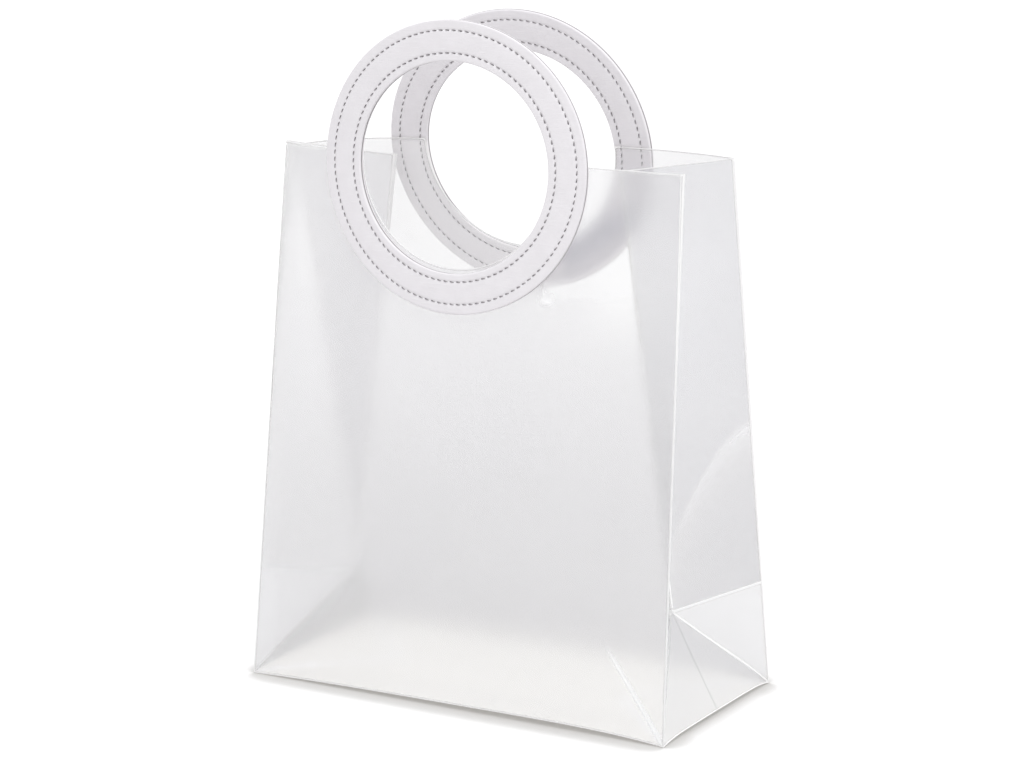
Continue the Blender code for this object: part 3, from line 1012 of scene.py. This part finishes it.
def leather_material():
    """White grained leather with a faint lilac tone and fine crossed lines."""
    material, nodes = new_material("white_leather")
    place = nodes.add("ShaderNodeTexCoord").outputs["Object"]
    grain = nodes.add("ShaderNodeTexVoronoi", {"Vector": place, "Scale": 1500.0}, feature="SMOOTH_F1")
    heights = [nodes.math("MULTIPLY", grain.outputs["Distance"], 0.5)]
    for turn in (math.radians(38), math.radians(-38)):
        turned = nodes.add("ShaderNodeMapping",
                           {"Vector": place, "Rotation": (0, turn, 0), "Scale": (140.0, 140.0, 2600.0)})
        lines = nodes.add("ShaderNodeTexNoise", {"Vector": turned.outputs[0], "Scale": 1.0, "Detail": 2.0})
        heights.append(lines.outputs["Fac"])
    height = nodes.math("ADD", nodes.math("ADD", heights[0], heights[1]), heights[2])
    patch = nodes.add("ShaderNodeTexNoise", {"Vector": place, "Scale": 160.0, "Detail": 4.0})
    tone = nodes.ramp(patch.outputs["Fac"], 0.3, 0.7, 0.0, 1.0)
    colour = nodes.blend(tone, *LEATHER_TONES)
    scratch = nodes.ramp(nodes.math("MAXIMUM", heights[1], heights[2]), 0.62, 0.78, 0.0, 0.6)
    colour = nodes.blend(scratch, colour, SCRATCH_TONE)
    # Painted glints at the needle holes
    needle_glint = nodes.attribute("needle_glint")
    colour = nodes.blend(nodes.ramp(needle_glint, 0.3, 0.9, 0.0, 0.9), colour, NEEDLE_GLINT_TONE)
    # Painted sheen where the film lies over the leather
    film_sheen = nodes.attribute("film_sheen")
    colour = nodes.blend(nodes.math("MULTIPLY", film_sheen, 0.9), colour, FILM_SHEEN_TONE)
    # Joint line: glue line and painted shade
    joint = nodes.attribute("joint")
    colour = nodes.blend(nodes.ramp(joint, 0.0, 1.0, 0.0, 0.9), colour, JOINT_GLUE_AND_SHADE_TONE)
    bump = nodes.add("ShaderNodeBump", {"Height": height, "Strength": 0.6, "Distance": 0.00012})
    roughness = nodes.ramp(patch.outputs["Fac"], 0.3, 0.7, 0.46, 0.56)
    shader = nodes.add("ShaderNodeBsdfPrincipled", {
        "Base Color": colour,
        "Roughness": roughness,
        "IOR": 1.45,
        "Normal": bump.outputs["Normal"],
    })
    nodes.add("ShaderNodeOutputMaterial", {"Surface": shader.outputs[0]})
    return material


# Colours of the thread, lighter at one end of each stitch and darker where it dives into the leather: painted
# light and shade
THREAD_LIT_TONES = ((0.36, 0.34, 0.35, 1), (0.46, 0.44, 0.45, 1))
THREAD_SHADED_TONES = ((0.10, 0.09, 0.10, 1), (0.17, 0.155, 0.165, 1))


def thread_material():
    """Twisted grey thread."""
    material, nodes = new_material("grey_thread")
    place = nodes.add("ShaderNodeTexCoord").outputs["Object"]
    fibre = nodes.add("ShaderNodeTexNoise", {"Vector": place, "Scale": 2500.0, "Detail": 2.0})
    tone = nodes.ramp(fibre.outputs["Fac"], 0.3, 0.7, 0.0, 1.0)
    run = nodes.attribute("run")
    lit_thread = nodes.blend(tone, *THREAD_LIT_TONES)
    shaded_thread = nodes.blend(tone, *THREAD_SHADED_TONES)
    # Painted light and shade along each stitch
    colour = nodes.blend(nodes.ramp(run, 0.15, 0.85, 0.0, 1.0), shaded_thread, lit_thread)
    bump = nodes.add("ShaderNodeBump",
                     {"Height": fibre.outputs["Fac"], "Strength": 0.6, "Distance": 0.0001})
    shader = nodes.add("ShaderNodeBsdfPrincipled", {
        "Base Color": colour,
        "Roughness": 0.75,
        "Sheen Weight": 0.2,
        "Normal": bump.outputs["Normal"],
    })
    nodes.add("ShaderNodeOutputMaterial", {"Surface": shader.outputs[0]})
    return material


# Camera at the photograph's place: direction, tilt, distance and the small shift of its aim
CAMERA_AZIMUTH = math.radians(31.83)
CAMERA_ELEVATION = math.radians(13.57)
CAMERA_ROLL = math.radians(-1.23)
CAMERA_OFFSET = (0.00149, 0.13644, 1.5628)
CAMERA_FOCAL = 3360.1
IMAGE_WIDTH = 1024


def make_camera():
    turn = CAMERA_AZIMUTH
    tilt = CAMERA_ELEVATION
    right = Vector((math.cos(turn), math.sin(turn), 0))
    back = Vector((math.sin(turn) * math.cos(tilt), -math.cos(turn) * math.cos(tilt), math.sin(tilt)))
    up = back.cross(right)
    level = right * math.cos(CAMERA_ROLL) + up * math.sin(CAMERA_ROLL)
    rise = up * math.cos(CAMERA_ROLL) - right * math.sin(CAMERA_ROLL)
    data = bpy.data.cameras.new("camera")
    data.sensor_width = 36.0
    data.lens = CAMERA_FOCAL / IMAGE_WIDTH * data.sensor_width
    data.clip_start = 0.05
    data.clip_end = 50.0
    camera = bpy.data.objects.new("camera", data)
    bpy.context.scene.collection.objects.link(camera)
    camera.matrix_world = Matrix((level, rise, back)).transposed().to_4x4()
    camera.location = level * CAMERA_OFFSET[0] + rise * CAMERA_OFFSET[1] + back * CAMERA_OFFSET[2]
    bpy.context.scene.camera = camera


# Light of the room: direction range and level at both ends, along the height and across, and its colour
SKY_ALONG_HEIGHT = (-0.2, 0.9, 0.78, 1.0)
SKY_ACROSS = (-1.0, 0.2, 0.74, 1.05)
SKY_COLOUR = (0.98, 0.985, 1.0, 1)
KEY_DIRECTION = (0.9, -0.5, 1.9)
KEY_STRENGTH = 1.0
KEY_SPREAD = math.radians(40)


def seen_directly(nodes):
    """1 for camera, glossy and transmission rays, 0 for the rays that light surfaces."""
    rays = nodes.add("ShaderNodeLightPath").outputs
    seen = nodes.math("MAXIMUM", rays["Is Camera Ray"], rays["Is Glossy Ray"])
    return nodes.math("MAXIMUM", seen, rays["Is Transmission Ray"])


def make_world():
    world = bpy.data.worlds.new("studio")
    bpy.context.scene.world = world
    world.use_nodes = True
    nodes = Nodes(world.node_tree)
    seen = seen_directly(nodes)
    place = nodes.add("ShaderNodeTexCoord").outputs["Generated"]
    parts = nodes.add("ShaderNodeSeparateXYZ", {"Vector": place})
    level = nodes.ramp(parts.outputs["Z"], *SKY_ALONG_HEIGHT)
    level = nodes.math("MULTIPLY", level, nodes.ramp(parts.outputs["X"], *SKY_ACROSS))
    light = nodes.add("ShaderNodeBackground", {"Color": SKY_COLOUR, "Strength": level})
    white = nodes.add("ShaderNodeBackground", {"Color": (1, 1, 1, 1), "Strength": 1.0})
    mixed = nodes.add("ShaderNodeMixShader", {0: seen, 1: light.outputs[0], 2: white.outputs[0]})
    nodes.add("ShaderNodeOutputWorld", {"Surface": mixed.outputs[0]})


def make_sun(name, direction, strength, spread):
    """Wide, soft light from far away, given the direction it comes from."""
    data = bpy.data.lights.new(name, "SUN")
    data.energy = strength
    data.angle = spread
    lamp = bpy.data.objects.new(name, data)
    bpy.context.scene.collection.objects.link(lamp)
    lamp.rotation_mode = "QUATERNION"
    lamp.rotation_quaternion = Vector(direction).to_track_quat("Z", "Y")


# Painted shadow behind the bag: distances from the bag between which the floor seen through the film grows
# from its own tone to white
FLOOR_NEAR = 0.25
FLOOR_FAR = 0.90

# The floor's own light in the open, close to the bag and behind the film, its soft shadow and its two tones
FLOOR_LIFT = 0.33
FLOOR_LIFT_CLOSE = 0.16
FLOOR_LIFT_BEHIND = 0.20
FLOOR_SHADOW_REACH = 0.018
FLOOR_TONES = ((0.52, 0.51, 0.495, 1), (0.705, 0.70, 0.695, 1))


def make_floor():
    mesh = bpy.data.meshes.new("floor")
    shape = bmesh.new()
    bmesh.ops.create_grid(shape, x_segments=1, y_segments=1, size=6.0)
    shape.to_mesh(mesh)
    shape.free()
    floor = bpy.data.objects.new("floor", mesh)
    floor.location.z = -0.0002
    bpy.context.scene.collection.objects.link(floor)
    material, nodes = new_material("pale_floor")
    place = nodes.add("ShaderNodeTexCoord").outputs["Object"]
    away = nodes.add("ShaderNodeVectorMath", {0: place}, operation="LENGTH").outputs["Value"]
    rays = nodes.add("ShaderNodeLightPath").outputs
    near = nodes.add("ShaderNodeAmbientOcclusion", {"Distance": FLOOR_SHADOW_REACH}, samples=16)
    lit = nodes.ramp(near.outputs["AO"], 0.70, 0.97, 0.0, 1.0)
    lit = nodes.math("MAXIMUM", lit, nodes.math("MULTIPLY", rays["Is Transmission Ray"], 0.8))
    lift = nodes.math("ADD", nodes.math("MULTIPLY", lit, FLOOR_LIFT - FLOOR_LIFT_CLOSE), FLOOR_LIFT_CLOSE)
    open_floor = nodes.math("MULTIPLY", rays["Is Camera Ray"], lift)
    # Painted shadow: the floor seen through the film is darker near the bag
    far_floor = nodes.ramp(away, FLOOR_NEAR, FLOOR_FAR, 0.0, FLOOR_LIFT_BEHIND)
    behind = nodes.math("MAXIMUM", rays["Is Transmission Ray"], rays["Is Glossy Ray"])
    behind = nodes.math("MULTIPLY", behind, far_floor)
    tone = nodes.blend(lit, *FLOOR_TONES)
    base = nodes.add("ShaderNodeBsdfDiffuse", {"Color": tone})
    glow = nodes.add("ShaderNodeEmission", {"Color": (1, 1, 1, 1),
                                            "Strength": nodes.math("MAXIMUM", open_floor, behind)})
    both = nodes.add("ShaderNodeAddShader", {0: base.outputs[0], 1: glow.outputs[0]})
    nodes.add("ShaderNodeOutputMaterial", {"Surface": both.outputs[0]})
    mesh.materials.append(material)


front = Panel(-1, **FRONT_MOUTH, chamfer=CHAMFER_WIDTH)
back = Panel(1, **BACK_MOUTH)
gussets = (Gusset(-1, front, back, GUSSET_LEAN_LEFT, GUSSET_SWING_LEFT),
           Gusset(1, front, back, GUSSET_LEAN_RIGHT, GUSSET_SWING_RIGHT))
leather = leather_material()
thread = thread_material()
make_film(front, back, gussets, film_material())
make_ring("front_ring", front, leather, thread)
make_ring("back_ring", back, leather, thread)
make_camera()
make_world()
make_sun("key", KEY_DIRECTION, KEY_STRENGTH, KEY_SPREAD)
make_floor()
bpy.context.scene.view_settings.view_transform = "Standard"
